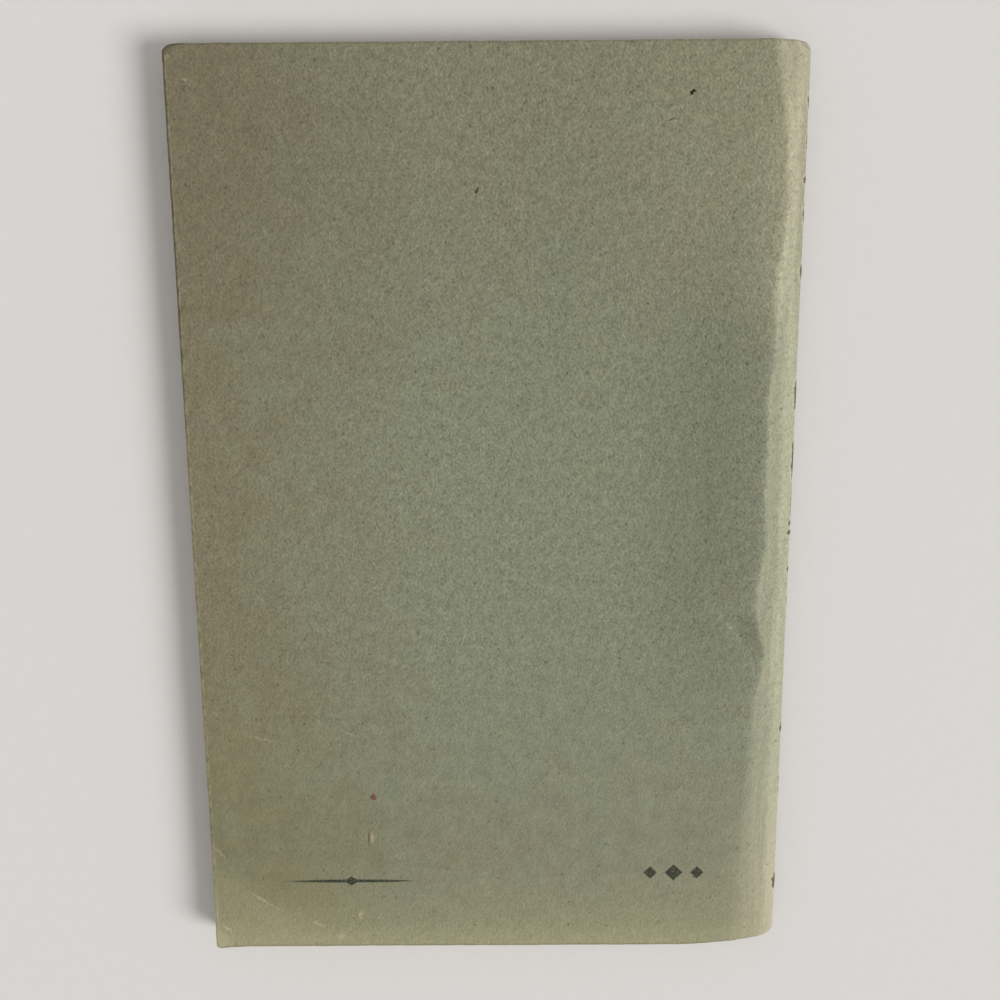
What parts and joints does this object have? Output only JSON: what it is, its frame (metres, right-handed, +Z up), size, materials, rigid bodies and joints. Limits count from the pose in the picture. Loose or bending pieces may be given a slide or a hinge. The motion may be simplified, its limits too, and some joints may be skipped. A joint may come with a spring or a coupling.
{
  "type": "pocket booklet",
  "caption": "Thin pocket booklet in a grey-green paper wrapper, stitched through the side and worn along the spine; both covers open on a crease.",
  "frame": {"origin": "middle of the underside, which is the front cover that the booklet lies on", "axes": "+X from the fore-edge to the spine, +Y from the tail to the head, +Z up through the pages to the back cover"},
  "size_m": [0.102, 0.156, 0.005],
  "materials": {
    "page_paper": "matte",
    "cover_paper": "matte",
    "stitch_wire": "satin"
  },
  "bodies": {
    "block": {"page_block": "page_paper", "spine_wrap": "cover_paper", "wire_stitches": "stitch_wire"},
    "back_cover": {"back_cover": "cover_paper"},
    "front_cover": {"front_cover": "cover_paper"}
  },
  "joints": [
    {"name": "back_cover_hinge", "type": "hinge", "parent": "block", "child": "back_cover", "pos_m": [0.046, 0, 0.005], "axis": [0, 1, 0], "range_deg": [0, 180]},
    {"name": "front_cover_hinge", "type": "hinge", "parent": "block", "child": "front_cover", "pos_m": [0.046, 0, 0], "axis": [0, -1, 0], "range_deg": [0, 180]}
  ]
}
